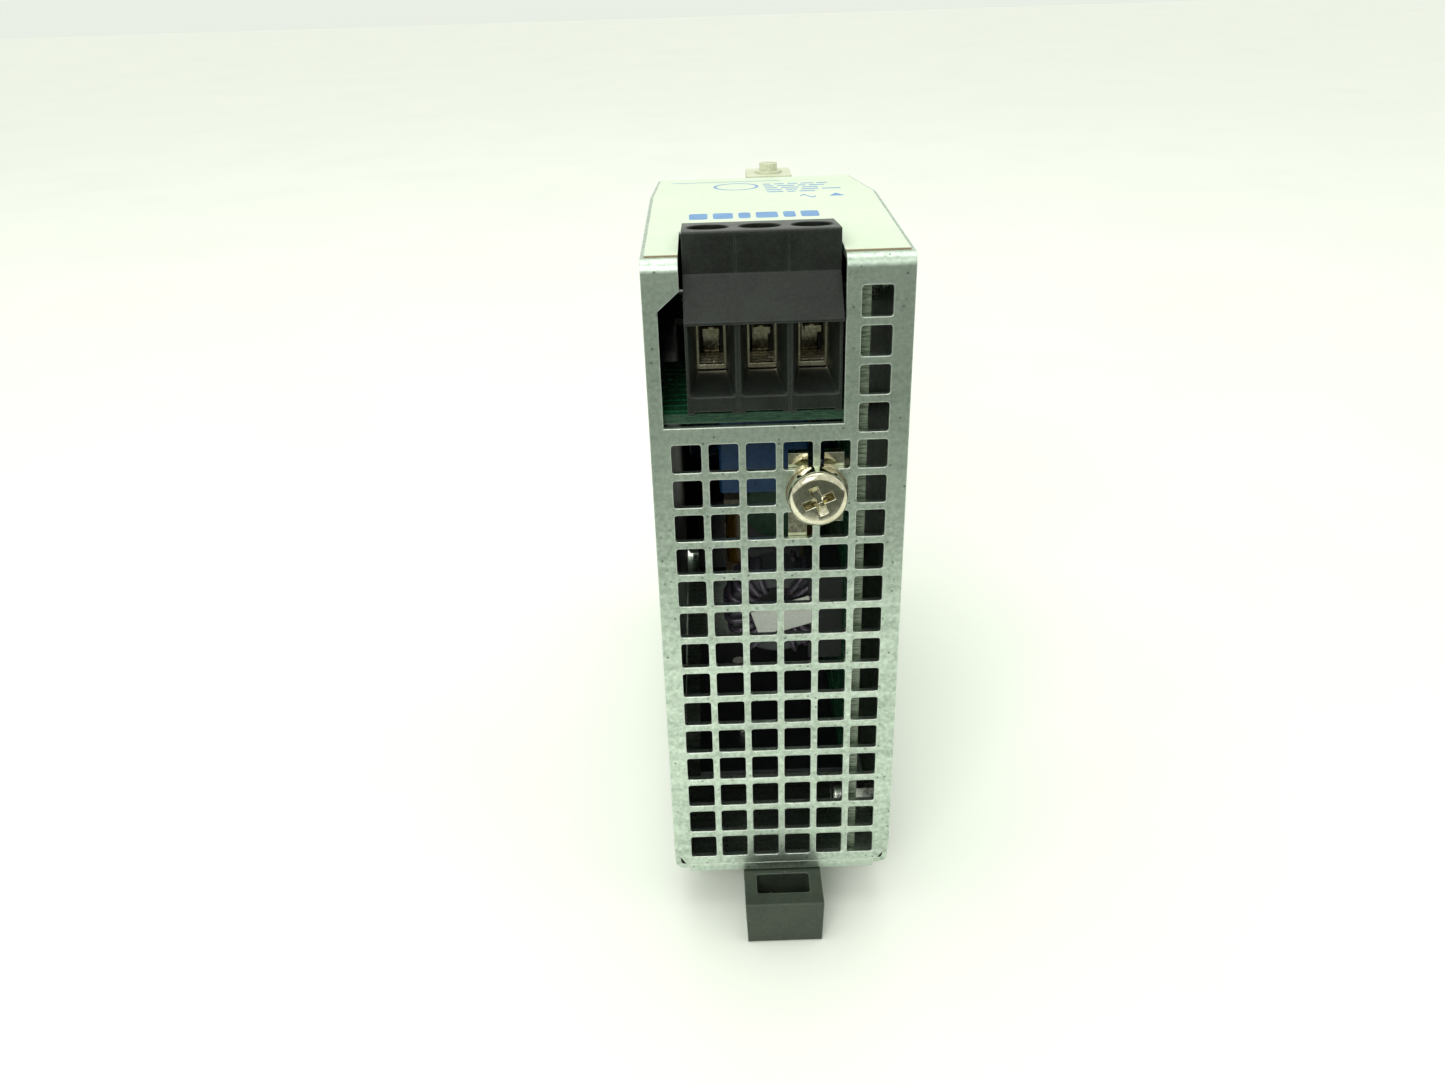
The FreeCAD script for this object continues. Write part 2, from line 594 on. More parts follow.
def make_terminal_block():
    left = TERM_OFFSET - POLES * POLE_PITCH / 2
    right = TERM_OFFSET + POLES * POLE_PITCH / 2
    outline = [
        (TERM_FRONT, -TERM_RISE), (TERM_DEPTH, -TERM_RISE + TERM_TOP_FALL), (TERM_DEPTH, TERM_H),
        (TERM_FOOT, TERM_H), (TERM_FOOT, HOOD_TIP + HOOD_LIP), (-HOOD_REACH, HOOD_TIP + HOOD_LIP),
        (-HOOD_REACH, HOOD_TIP), (TERM_FRONT, HOOD_TOP),
    ]
    block = prism_x([(from_end(y), below(z)) for y, z in outline], left, right)
    cutters = []
    cavity_front = THROAT_AT + 0.8
    cavity_back = SCREW_AT + CAGE_L / 2 + CAGE_FIT
    head_bottom = HEAD_TOP + HEAD_H
    web_bottom = head_bottom + 0.1 + WEB_H
    for x in pole_xs():
        rings = []
        for y, half, top, sill in ((TERM_FOOT - 0.01, ENTRY_W / 2, ENTRY_TOP, ENTRY_SILL),
                                   (THROAT_AT, ENTRY_THROAT_W / 2, THROAT_TOP, THROAT_SILL)):
            corners = [(x - half, top), (x + half, top), (x + half, sill), (x - half, sill)]
            points = [V(px, from_end(y), below(pz)) for px, pz in corners + corners[:1]]
            rings.append(Part.makePolygon(points))
        cutters.append(Part.makeLoft(rings, True, True))
        throat = ENTRY_THROAT_W / 2
        cutters.append(box(x - throat, x + throat, from_end(THROAT_AT - 0.01), from_end(cavity_front + 0.1),
                           below(THROAT_SILL), below(THROAT_TOP)))
        cage_half = CAGE_W / 2 + CAGE_FIT
        cutters.append(box(x - cage_half, x + cage_half, from_end(cavity_front), from_end(cavity_back),
                           below(CAGE_TOP + CAGE_H + 0.4), below(web_bottom)))
        cutters.append(rod(x, from_end(SCREW_AT), below(head_bottom + 0.1), ACCESS_D / 2, 12))
        cutters.append(rod(x, from_end(SCREW_AT), below(web_bottom + 1), CLAMP_SCREW_D / 2 + 0.2, WEB_H + 2))
        bar = BAR_W / 2 + 0.15
        cutters.append(box(x - bar, x + bar, from_end(cavity_back - 0.1), from_end(cavity_back + BAR_T + 0.3),
                           below(TERM_H + 1), below(BAR_TOP - 0.1)))
        cutters.append(box(x - 2.9, x + 2.9, from_end(TERM_FOOT - 1), from_end(TERM_FOOT + 2.5),
                           below(TERM_H + 1), below(TERM_H - 0.5)))
    return block.cut(cutters)


def make_clamp_screw(x):
    """Captive slotted screw; its thread runs in the cage's top wall."""
    tip = BAR_TOP - 0.1
    length = tip - HEAD_TOP - HEAD_H
    head = rod(0, 0, 0, HEAD_D / 2, HEAD_H)
    head = head.makeChamfer(0.3, [edge for edge in head.Edges if edge.BoundBox.ZMin > HEAD_H - 0.01
                                  and edge.Curve.TypeId == "Part::GeomCircle"])
    shank = rod(0, 0, -length, CLAMP_SCREW_D / 2, length + 0.1)
    shank = shank.cut(thread_grooves(CLAMP_SCREW_D / 2, -length, length - 1.2, CLAMP_PITCH, 0.2))
    screw = head.fuse(shank)
    screw = screw.cut([screw_slot(0, 0, HEAD_H, 0.9, HEAD_D + 1, 1.3)])
    screw.translate(V(x, from_end(SCREW_AT), below(HEAD_TOP + HEAD_H)))
    return screw


def make_clamp_cage(x):
    """Box clamp that the screw draws up, so that the wire is pressed against the contact bar."""
    half = CAGE_W / 2
    y0 = from_end(SCREW_AT - CAGE_L / 2)
    y1 = from_end(SCREW_AT + CAGE_L / 2)
    top = below(CAGE_TOP)
    low = below(CAGE_TOP + CAGE_H)
    cage = rounded_box(x - half, x + half, y0, y1, low, top, 0.6, V(0, 1, 0))
    cage = cage.cut([
        box(x - half + CAGE_WALL, x + half - CAGE_WALL, y0 - 1, y1 + 1, low + CAGE_WALL, top - 1.3),
        rod(x, from_end(SCREW_AT), top - 2, CLAMP_SCREW_D / 2 + RUN_FIT, 3),
    ])
    teeth = []
    for index in range(4):
        y = y0 + 0.9 + index * 1.3
        z = low + CAGE_WALL
        teeth.append(prism_x([(y - 0.35, z - 0.1), (y + 0.35, z - 0.1), (y, z + 0.35)],
                             x - half + CAGE_WALL - 0.05, x + half - CAGE_WALL + 0.05))
    return fuse([cage] + teeth)


def make_contacts():
    """Contact bars through the cages, bent down to the solder pins."""
    bars = []
    back = SCREW_AT + CAGE_L / 2 + CAGE_FIT + BAR_T + BAR_GAP
    for x in pole_xs():
        half = BAR_W / 2
        bar = box(x - half, x + half, from_end(THROAT_AT + 0.9), from_end(back), below(BAR_TOP + BAR_T),
                  below(BAR_TOP))
        pin = box(x - half, x + half, from_end(back - BAR_T), from_end(back), below(TERM_H + PIN_L),
                  below(BAR_TOP))
        bars.append(fuse([bar, pin]))
    return Part.makeCompound(bars)


def make_earth_screw():
    """Pan head screw of the protective earth terminal; its head faces the input end."""
    radius = EARTH_HEAD_D / 2
    head = rod(0, 0, 0, radius, EARTH_HEAD_H)
    rim = [edge for edge in head.Edges if edge.Curve.TypeId == "Part::GeomCircle"
           and edge.BoundBox.ZMin > EARTH_HEAD_H - 0.01]
    head = head.makeFillet(1.3, rim)
    shank = rod(0, 0, -EARTH_LEN, EARTH_D / 2, EARTH_LEN + 0.1)
    shank = shank.cut(thread_grooves(EARTH_D / 2, -EARTH_LEN, EARTH_LEN - 2.6, EARTH_PITCH, 0.25))
    recess = cross_recess(4.6, 1.0, 1.7)
    recess.translate(V(0, 0, EARTH_HEAD_H))
    recess.rotate(V(0, 0, 0), V(0, 0, 1), 22)
    screw = head.fuse(shank).cut(recess)
    screw.rotate(V(0, 0, 0), V(1, 0, 0), 90)
    screw.translate(V(EARTH_X, -HALF_L - EARTH_WASHER_T - 0.15, EARTH_Z))
    return screw


def make_earth_washer():
    """Square clamp washer with two turned-down wire guards."""
    half = EARTH_WASHER_W / 2
    y1 = -HALF_L - 0.05
    y0 = y1 - EARTH_WASHER_T
    radius = EARTH_HEAD_D / 2 + 0.3
    washer = rod(EARTH_X, y0, EARTH_Z, radius, EARTH_WASHER_T, V(0, 1, 0))
    hole = rod(EARTH_X, y0 - 1, EARTH_Z, EARTH_D / 2 + RUN_FIT, EARTH_WASHER_T + 2, V(0, 1, 0))
    flat = box(EARTH_X - half, EARTH_X + half, y0 - 1, y1 + 1, EARTH_Z - radius + 0.5, EARTH_Z + radius - 0.5)
    return washer.common(flat).cut(hole)


def make_earth_nut_plate():
    """Threaded clamp plate behind the end plate, notched at its top, with a foot on the board link."""
    half = EARTH_PLATE_W / 2
    y0 = -INNER_END + JOIN_GAP
    top = EARTH_Z + EARTH_PLATE_H / 2
    plate = box(EARTH_X - half, EARTH_X + half, y0, y0 + EARTH_PLATE_T, top - EARTH_PLATE_H, top)
    notch = fuse([rod(EARTH_X, y0 - 1, top - 1.4, 1.3, EARTH_PLATE_T + 2, V(0, 1, 0)),
                  box(EARTH_X - 1.3, EARTH_X + 1.3, y0 - 1, y0 + EARTH_PLATE_T + 1, top - 1.4, top + 1)])
    tail = box(EARTH_X - half, EARTH_X - half + 3.0, y0, y0 + EARTH_PLATE_T, top - EARTH_PLATE_H - 3, top - 1)
    arm = box(EARTH_X + half - 2, BOARD_FACE_X - 0.1, y0, y0 + EARTH_PLATE_T, EARTH_Z - 2.5, EARTH_Z + 2.5)
    thread = rod(EARTH_X, y0 - 1, EARTH_Z, EARTH_D / 2 + RUN_FIT, EARTH_PLATE_T + 2, V(0, 1, 0))
    return fuse([plate, tail, arm]).cut([notch, thread])


# ---------------------------------------------------------------- boards
TERM_BOARD_TOP = TERM_H                 # below the panel
OUT_BOARD_TOP = LEDGE_DROP + TERM_H


def make_main_board():
    """Upright board along the right side; its outline follows the cover."""
    edge = BOARD_EDGE
    low = FLOOR_Z + edge
    path = [(-INNER_END + edge - 1.4, low), (-INNER_END + edge - 1.4, FRONT_Z - SHEET - edge),
            (BEND_Y1, FRONT_Z - SHEET - edge), (BEND_Y2, FRONT_Z - SLIGHT_DROP - SHEET - edge),
            (BEND_Y3, LEDGE_Z - SHEET - edge), (INNER_END - edge + 1.4, LEDGE_Z - SHEET - edge),
            (INNER_END - edge + 1.4, low)]
    board = prism_x(path, BOARD_FACE_X, BOARD_FACE_X + BOARD_T)
    holes = [rod(BOARD_FACE_X - 1, y, z, M3_D / 2 + 0.1, BOARD_T + 2, V(1, 0, 0)) for y, z in STANDOFF_PLACES]
    return board.cut(holes + drilled)


def make_terminal_board(left, right):
    """Small board that a terminal block stands on, drawn at the input end."""
    top = below(TERM_BOARD_TOP)
    front = TERM_FOOT + BOARD_SETBACK
    board = box(left, right, from_end(front), from_end(front + TERM_BOARD_L), top - BOARD_T, top)
    back = SCREW_AT + CAGE_L / 2 + CAGE_FIT + BAR_T + BAR_GAP
    slots = []
    for x in pole_xs():
        half = BAR_W / 2 + 0.1
        slots.append(box(x - half, x + half, from_end(back - BAR_T - 0.1), from_end(back + 0.1),
                         top - BOARD_T - 1, top + 1))
    return board.cut(slots)


def hexagon_x(y, z, across, x0, x1):
    radius = across / math.sqrt(3)
    angles = [math.radians(60 * index) for index in range(6)]
    return prism_x([(y + radius * math.cos(a), z + radius * math.sin(a)) for a in angles], x0, x1)


def make_standoffs():
    """Hexagonal standoffs pressed into the right side wall, which carry the main board."""
    pieces = []
    for y, z in STANDOFF_PLACES:
        body = hexagon_x(y, z, STANDOFF_AF, BOARD_FACE_X + BOARD_T, INNER_X)
        stud = rod(INNER_X - 0.1, y, z, STANDOFF_STUD_D / 2, SHEET + 0.1, V(1, 0, 0))
        bore = rod(BOARD_FACE_X, y, z, M3_D / 2, INNER_X - BOARD_FACE_X - 0.6, V(1, 0, 0))
        pieces.append(body.fuse(stud).cut(bore))
    return Part.makeCompound(pieces)


def make_board_screws():
    pieces = []
    for y, z in STANDOFF_PLACES:
        head = rod(BOARD_FACE_X, y, z, M3_HEAD_D / 2, 2.0, V(-1, 0, 0))
        top = [e for e in head.Edges if e.Curve.TypeId == "Part::GeomCircle"
               and e.BoundBox.XMax < BOARD_FACE_X - 1.9]
        head = head.makeFillet(0.8, top)
        shank = rod(BOARD_FACE_X - 0.1, y, z, M3_D / 2 - RUN_FIT, BOARD_T + 3.6, V(1, 0, 0))
        recess = cross_recess(2.8, 0.7, 1.1)
        recess.rotate(V(0, 0, 0), V(0, 1, 0), -90)
        recess.translate(V(BOARD_FACE_X - 2.0, y, z))
        pieces.append(head.fuse(shank).cut(recess))
    return Part.makeCompound(pieces)


# ---------------------------------------------------------------- parts on the main board
LEAD_D = 0.7
LEAD_THROUGH = BOARD_T + 1.0
LEAD_FIT = 0.05          # between a lead and the edge of its hole
drilled = []             # cutters for the main board, noted by every lead that goes through it
SEAT_GAP = 0.1           # under a component that stands on the board


def out(height):
    """X of a place this high above the main board."""
    return BOARD_FACE_X - height


def lead(y, z, height, diameter=LEAD_D):
    """Round lead from this high above the main board down through it."""
    drilled.append(rod(BOARD_FACE_X - 1, y, z, diameter / 2 + LEAD_FIT, BOARD_T + 2, V(1, 0, 0)))
    return rod(out(height), y, z, diameter / 2, height + LEAD_THROUGH, V(1, 0, 0))


def blade(y, z, height, width_y, width_z):
    """Rectangular lead from this high above the main board down through it, centred on (y, z)."""
    half_y, half_z = width_y / 2, width_z / 2
    fit = LEAD_FIT
    drilled.append(box(BOARD_FACE_X - 1, BOARD_FACE_X + BOARD_T + 1, y - half_y - fit, y + half_y + fit,
                       z - half_z - fit, z + half_z + fit))
    return box(out(height), BOARD_FACE_X + LEAD_THROUGH, y - half_y, y + half_y, z - half_z, z + half_z)


def can(y, z, diameter, height):
    """Round component standing on the main board, its free end rounded over."""
    body = rod(out(height), y, z, diameter / 2, height - SEAT_GAP, V(1, 0, 0))
    rims = [e for e in body.Edges if e.Curve.TypeId == "Part::GeomCircle"]
    return body.makeFillet(0.8, rims)


def disc(y, z, height, radius, thickness):
    """Coated disc on two leads, its flat sides facing the two ends of the case."""
    body = rod(out(height), y, z, radius, thickness, V(0, 1, 0))
    rims = [e for e in body.Edges if e.Curve.TypeId == "Part::GeomCircle"]
    body = body.makeFillet(thickness * 0.4, rims)
    legs = [lead(y + thickness / 2, z + side * radius * 0.5, height - radius * 0.6) for side in (-1, 1)]
    return fuse([body] + legs)


LINK_PINS = 7
LINK_PITCH = 2.54
LINK_PIN = 0.64
UNDER_BOARD = TERM_BOARD_TOP + BOARD_T       # underside of the input terminal board, below the panel
X2_L, X2_H, X2_T = 15.2, 18.6, 7.0
X2_PITCH = 10.0
X2_LEAD_D = 0.8
X2_X = -1.8
X2_SETBACK = 14.7
FUSE_D, FUSE_L = 5.2, 20.0
FUSE_HEIGHT = 6.6
CLIP_L = 4.0
CORE_HEIGHT = 5.4        # room under the transformer core for its former
BULK_D, BULK_L = 0.2 * CASE_L, 27.0
SINK_T = 2.0
SINK_H = 27.0
CORE_W, CORE_H, CORE_T = 0.2636 * CASE_L, 28.0, 11.0
CORE_LEG = 0.04 * CASE_L


def make_board_links():
    """Comb of pins under each terminal board, through the main board."""
    pins = []
    for side, drop in ((-1, 0), (1, LEDGE_DROP)):
        z = below(drop + TERM_BOARD_TOP) - BOARD_T - LINK_PIN / 2
        for index in range(LINK_PINS):
            y = side * (HALF_L - 8.0 - index * LINK_PITCH)
            pins.append(blade(y, z, 2.6, LINK_PIN, LINK_PIN))
    return Part.makeCompound(pins)


def x2_leads():
    """Places (x, y) of the two leads of the suppression capacitor."""
    return [(X2_X + side * X2_PITCH / 2, from_end(X2_SETBACK) + X2_T * 0.7) for side in (-1, 1)]


def make_x2_capacitor():
    """Boxed interference suppression capacitor, hanging under the input terminal board on two leads."""
    y0 = from_end(X2_SETBACK)
    top = below(UNDER_BOARD)
    body = box(X2_X - X2_L / 2, X2_X + X2_L / 2, y0, y0 + X2_T, top - X2_H, top - SEAT_GAP - 0.4)
    body = body.makeFillet(0.6, body.Edges)
    leads = [rod(x, y, top - 1.5, X2_LEAD_D / 2, 1.5 + BOARD_T + 1.0) for x, y in x2_leads()]
    return fuse([body] + leads)


FUSE_Y = from_end(25.2)
FUSE_Z = below(UNDER_BOARD + 1.1 + FUSE_L)


def make_fuse():
    """Glass tube fuse with a cap at each end."""
    x = out(FUSE_HEIGHT)
    tube = rod(x, FUSE_Y, FUSE_Z + 1, FUSE_D / 2 - 0.2, FUSE_L - 2)
    caps = [rod(x, FUSE_Y, z, FUSE_D / 2, 5.0) for z in (FUSE_Z, FUSE_Z + FUSE_L - 5.0)]
    return fuse([tube] + caps)


def make_fuse_clips():
    """Two sprung clips that hold the fuse by its caps."""
    clips = []
    x = out(FUSE_HEIGHT)
    radius = FUSE_D / 2
    for z in (FUSE_Z + 0.5, FUSE_Z + FUSE_L - 0.5 - CLIP_L):
        shell = rod(x, FUSE_Y, z, radius + 0.5, CLIP_L)
        foot = box(x, out(SEAT_GAP), FUSE_Y - 1.5, FUSE_Y + 1.5, z, z + CLIP_L)
        gap = radius * 0.7
        mouth = box(x - radius - 2, x - radius * 0.6, FUSE_Y - gap, FUSE_Y + gap, z - 1, z + CLIP_L + 1)
        seat = rod(x, FUSE_Y, z - 1, radius + 0.02, CLIP_L + 2)
        clips.append(fuse([shell, foot]).cut([seat, mouth]))
    return Part.makeCompound(clips)


CHOKE_X = 0.4            # ring's centre
CHOKE_Y = from_end(21.0)  # middle of the ring's thickness
CHOKE_Z = FLOOR_Z + 45.2
CHOKE_D, CHOKE_BORE, CHOKE_T = 17.6, 9.6, 7.0
CHOKE_WIRE = 1.2
CHOKE_TURNS = 9          # on each side
CHOKE_SWEEP = 140        # degrees of the ring under each coil
LABEL_W, LABEL_H = 11.0, 5.6
LABEL_TURN = -17
PIN_ROOT = 1.0           # depth of a pin in its moulded base


def ring_turn(diameter, bore, thickness, wire):
    """One closed turn of wire around a ring that lies about the Y axis, at the ring's top."""
    low, high = bore / 2 - wire - 0.05, diameter / 2 + wire + 0.05
    y_half = thickness / 2 + wire + 0.05
    loop = box(-wire / 2, wire / 2, -y_half, y_half, low, high)
    return loop.cut(box(-wire, wire, -y_half + wire, y_half - wire, low + wire, high - wire))


def make_choke_core():
    """Ferrite ring of the common mode choke, its bore facing the input grille."""
    ring = rod(CHOKE_X, CHOKE_Y - CHOKE_T / 2, CHOKE_Z, CHOKE_D / 2, CHOKE_T, V(0, 1, 0))
    bore = rod(CHOKE_X, CHOKE_Y - CHOKE_T, CHOKE_Z, CHOKE_BORE / 2, CHOKE_T * 2, V(0, 1, 0))
    ring = ring.cut(bore)
    rims = [e for e in ring.Edges if e.Curve.TypeId == "Part::GeomCircle"]
    return ring.makeFillet(0.6, rims)


def make_choke_windings():
    """Two coils of enamelled wire, one on each half of the ring, as closed turns."""
    turns = []
    for start in (20, 200):
        for index in range(CHOKE_TURNS):
            turn = ring_turn(CHOKE_D, CHOKE_BORE, CHOKE_T, CHOKE_WIRE)
            turn.rotate(V(0, 0, 0), V(0, 1, 0), start + index * CHOKE_SWEEP / (CHOKE_TURNS - 1))
            turn.translate(V(CHOKE_X, CHOKE_Y, CHOKE_Z))
            turns.append(turn)
    return fuse(turns)


def make_choke_base():
    """Moulded cradle that stands the ring on the main board, with the choke's four pins."""
    reach = CHOKE_D / 2 + CHOKE_WIRE + 0.15
    x_near = CHOKE_X + reach * 0.55
    half_y = CHOKE_T / 2 + CHOKE_WIRE + 1.6
    half_z = 8.5
    base = box(x_near, out(SEAT_GAP), CHOKE_Y - half_y, CHOKE_Y + half_y, CHOKE_Z - half_z, CHOKE_Z + half_z)
    bed_half = CHOKE_T / 2 + CHOKE_WIRE + 0.3
    bed = rod(CHOKE_X, CHOKE_Y - bed_half, CHOKE_Z, reach, 2 * bed_half, V(0, 1, 0))
    mouth = rod(CHOKE_X, CHOKE_Y - half_y - 1, CHOKE_Z, reach - 2.4, 2 * half_y + 2, V(0, 1, 0))
    pins = [lead(CHOKE_Y + y, CHOKE_Z + z, PIN_ROOT) for y in (-4.0, 4.0) for z in (-6.0, 6.0)]
    return fuse([base.cut([bed, mouth])] + pins)


def make_choke_label():
    """Blank paper label glued askew across the front of the ring."""
    y = CHOKE_Y - CHOKE_T / 2 - CHOKE_WIRE - 0.08
    label = box(-LABEL_W / 2, LABEL_W / 2, -0.15, 0, -LABEL_H / 2, LABEL_H / 2)
    label.rotate(V(0, 0, 0), V(0, 1, 0), LABEL_TURN)
    label.translate(V(CHOKE_X + 1.2, y, CHOKE_Z - 0.4))
    return label


VARISTOR_T = 4.2
VARISTOR_Y = FUSE_Y + 4.2
BULK_Y = VARISTOR_Y + VARISTOR_T + 1.4 + BULK_D / 2
BULK_Z = below(UNDER_BOARD + 12.0)


def make_bulk_capacitor():
    """Large electrolytic capacitor in its printed sleeve."""
    legs = [lead(BULK_Y + y, BULK_Z, PIN_ROOT, 1.2) for y in (-5.0, 5.0)]
    return fuse([can(BULK_Y, BULK_Z, BULK_D, BULK_L)] + legs)


def make_varistor():
    return disc(VARISTOR_Y, below(UNDER_BOARD + 12.0), 10.0, 7.0, VARISTOR_T)


def make_thermistor():
    return disc(FUSE_Y + 4.6, below(UNDER_BOARD + 29.0), 10.5, 6.5, 4.6)


SINK_Z = FLOOR_Z + 12.6
SINK_Y0 = from_end(10.0)
SINK_Y1 = from_end(0.463 * CASE_L)
SINK2_Z = FLOOR_Z + 20.0
SINK2_Y0 = HALF_L - 0.383 * CASE_L
SINK2_Y1 = HALF_L - 0.096 * CASE_L
TO_HOLE = 18.5           # hole of a power device above the board
TO_W = 10.2
TO_L = 15.4
TO_T = 4.5
TO_HOLE_EDGE = 3.0       # hole's middle to the top of the body
TO_LEG_W, TO_LEG_T = 0.8, 0.6
PRIMARY_DEVICES = (SINK_Y0 + 12.0, SINK_Y1 - 12.0)
SINK2_SHARE = 0.28       # devices from the ends of the second sink
SECONDARY_DEVICES = (SINK2_Y0 + SINK2_SHARE * (SINK2_Y1 - SINK2_Y0),
                     SINK2_Y1 - SINK2_SHARE * (SINK2_Y1 - SINK2_Y0))


def heat_sink(y0, y1, z):
    """Aluminium plate standing on the main board on two soldered tabs."""
    plate = box(out(SINK_H), out(SEAT_GAP), y0, y1, z, z + SINK_T)
    tabs = [blade(y, z + SINK_T / 2, SEAT_GAP + 1, 3.0, SINK_T) for y in (y0 + 5, y1 - 5)]
    return fuse([plate] + tabs)


def make_primary_sink():
    body = heat_sink(SINK_Y0, SINK_Y1, SINK_Z)
    holes = [rod(out(TO_HOLE), y, SINK_Z - 1, M3_D / 2, SINK_T + 2) for y in PRIMARY_DEVICES]
    return body.cut(holes)


def make_secondary_sink():
    body = heat_sink(SINK2_Y0, SINK2_Y1, SINK2_Z)
    holes = [rod(out(TO_HOLE), y, SINK2_Z - 1, M3_D / 2, SINK_T + 2) for y in SECONDARY_DEVICES]
    return body.cut(holes)


def power_device(y, z_top):
    """Flat-backed power device under a heat sink, with three leads into the board."""
    high = TO_HOLE + TO_HOLE_EDGE
    body = box(out(high), out(high - TO_L), y - TO_W / 2, y + TO_W / 2, z_top - TO_T, z_top)
    hole = rod(out(TO_HOLE), y, z_top - TO_T - 1, M3_D / 2 + 0.1, TO_T + 2)
    legs = [blade(y + shift, z_top - TO_T / 2, high + 0.2 - TO_L, TO_LEG_W, TO_LEG_T)
            for shift in (-LINK_PITCH, 0, LINK_PITCH)]
    return fuse([body] + legs).cut(hole)


def make_primary_devices():
    return Part.makeCompound([power_device(y, SINK_Z - 0.05) for y in PRIMARY_DEVICES])


def make_secondary_devices():
    return Part.makeCompound([power_device(y, SINK2_Z - 0.05) for y in SECONDARY_DEVICES])


def make_device_screws():
    """One screw through each power device into its heat sink."""
    screws = []
    for ys, z in ((PRIMARY_DEVICES, SINK_Z), (SECONDARY_DEVICES, SINK2_Z)):
        for y in ys:
            head = rod(out(TO_HOLE), y, z - 0.05 - TO_T - 2.0, M3_HEAD_D / 2, 2.0)
            shank = rod(out(TO_HOLE), y, z - 0.05 - TO_T - 0.1, M3_D / 2 - RUN_FIT, TO_T + SINK_T + 1.5)
            screws.append(head.fuse(shank))
    return Part.makeCompound(screws)


CORE_Y = from_end(0.495 * CASE_L)
CORE_Z = FLOOR_Z + 29.5
FLANGE_T = 1.2           # flanges of the coil former
FLANGE_RISE = 3.4
PIN_RAIL_T = 3.0
RAIL_HALF = 0.3 * CORE_W     # half the length of a pin rail
BOBBIN_PITCH = 0.121 * CORE_W


def make_transformer_core():
    """Two E-shaped ferrite halves, with a middle leg through the coil former."""
    y0, y1 = CORE_Y - CORE_W / 2, CORE_Y + CORE_W / 2
    x_low, x_top = out(CORE_HEIGHT), out(CORE_HEIGHT + CORE_T)
    halves = []
    for low, high in ((CORE_Z, CORE_Z + CORE_H / 2 - 0.05), (CORE_Z + CORE_H / 2 + 0.05, CORE_Z + CORE_H)):
        solid = box(x_top, x_low, y0, y1, low, high)
        inner_low, inner_high = (low + CORE_LEG, high + 1) if low == CORE_Z else (low - 1, high - CORE_LEG)
        for side in (-1, 1):
            ya, yb = sorted((CORE_Y + side * CORE_LEG, CORE_Y + side * (CORE_W / 2 - CORE_LEG)))
            solid = solid.cut(box(x_top - 1, x_low + 1, ya, yb, inner_low, inner_high))
        halves.append(solid)
    return Part.makeCompound(halves)


def make_transformer_bobbin():
    """Moulded coil former with two pin rails."""
    x_mid = out(CORE_HEIGHT + CORE_T / 2)
    half_x = CORE_T / 2 + 0.9
    half_y = CORE_LEG + 0.9
    z0 = CORE_Z + CORE_LEG + 0.1
    z1 = CORE_Z + CORE_H - CORE_LEG - 0.1
    tube = box(x_mid - half_x, x_mid + half_x, CORE_Y - half_y, CORE_Y + half_y, z0, z1)
    flange_x = half_x + FLANGE_RISE
    flange_y = CORE_W / 2 - CORE_LEG - 0.1
    flanges = [box(x_mid - flange_x, x_mid + flange_x, CORE_Y - flange_y, CORE_Y + flange_y, z, z + FLANGE_T)
               for z in (z0, z1 - FLANGE_T)]
    rails = [box(x_mid + half_x, out(SEAT_GAP), CORE_Y - RAIL_HALF, CORE_Y + RAIL_HALF, z, z + PIN_RAIL_T)
             for z in (z0 + FLANGE_T - PIN_RAIL_T, z1 - FLANGE_T)]
    clear = [box(out(CORE_HEIGHT + CORE_T) - 0.1, out(CORE_HEIGHT) + 0.1, CORE_Y - 20, CORE_Y + 20, z, z + 20)
             for z in (z0 - 20, z1)]
    leg = box(out(CORE_HEIGHT + CORE_T) - 0.1, out(CORE_HEIGHT) + 0.1, CORE_Y - CORE_LEG - 0.1,
              CORE_Y + CORE_LEG + 0.1, z0 - 1, z1 + 1)
    body = fuse([tube] + flanges + rails).cut(clear + [leg])
    pins = [lead(CORE_Y + (index - 2) * BOBBIN_PITCH, z, PIN_ROOT)
            for index in range(5) for z in (z0 - 0.3, z1 + 0.3)]
    return fuse([body] + pins)


def make_transformer_winding():
    """Primary and secondary layers under yellow tape."""
    x_mid = out(CORE_HEIGHT + CORE_T / 2)
    half_x = CORE_T / 2 + 0.95
    half_y = CORE_LEG + 0.95
    z0 = CORE_Z + CORE_LEG + FLANGE_T + 0.3
    z1 = CORE_Z + CORE_H - CORE_LEG - FLANGE_T - 0.3
    build = FLANGE_RISE - 0.4
    coil = rounded_box(x_mid - half_x - build, x_mid + half_x + build, CORE_Y - half_y - build,
                       CORE_Y + half_y + build, z0, z1, 2.5)
    return coil.cut(box(x_mid - half_x, x_mid + half_x, CORE_Y - half_y, CORE_Y + half_y, z0 - 1, z1 + 1))


OUT_CHOKE_Z = FLOOR_Z + 44.0
TOROID_D, TOROID_BORE, TOROID_T = 0.16 * CASE_L, 0.08 * CASE_L, 9.0
TOROID_LIFT = 3.5        # ring's underside above the board
OUT_CHOKE_TURNS = 16
OUT_CHOKE_WIRE = 1.3
OUT_CHOKE_Y = CORE_Y + CORE_W / 2 + TOROID_D / 2 + OUT_CHOKE_WIRE + 1.3


def make_output_choke_core():
    """Powdered iron ring lying over the board."""
    top = out(TOROID_LIFT + TOROID_T)
    ring = rod(top, OUT_CHOKE_Y, OUT_CHOKE_Z, TOROID_D / 2, TOROID_T, V(1, 0, 0))
    bore = rod(top - 1, OUT_CHOKE_Y, OUT_CHOKE_Z, TOROID_BORE / 2, TOROID_T + 2, V(1, 0, 0))
    return ring.cut(bore)


